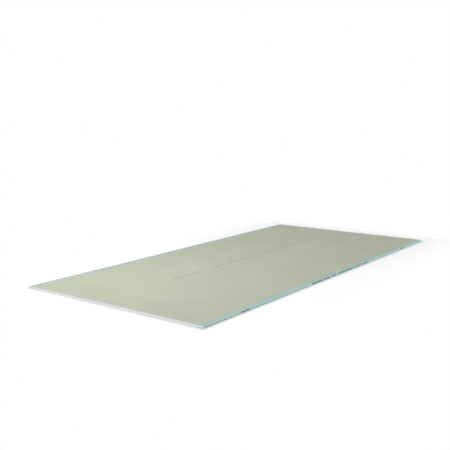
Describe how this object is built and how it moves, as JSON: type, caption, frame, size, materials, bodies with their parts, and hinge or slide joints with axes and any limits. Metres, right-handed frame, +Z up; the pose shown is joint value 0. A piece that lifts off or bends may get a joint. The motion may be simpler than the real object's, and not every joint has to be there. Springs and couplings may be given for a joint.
{
  "type": "drywall sheet",
  "caption": "Flat rectangular gypsum board with paper-wrapped, tapered long edges and square-cut ends, for lining walls and ceilings.",
  "frame": {"origin": "middle of the flat face that the sheet rests on", "axes": "+X along the sheet, +Y across it from one wrapped edge to the other, +Z up from the face to the back"},
  "size_m": [2.5, 1.2, 0.0095],
  "materials": {
    "face_paper": "matte",
    "back_paper": "matte",
    "gypsum_core": "matte",
    "edge_ink": "matte",
    "back_ink": "matte"
  },
  "bodies": {
    "root": {"drywall_sheet": "face_paper"}
  },
  "joints": []
}
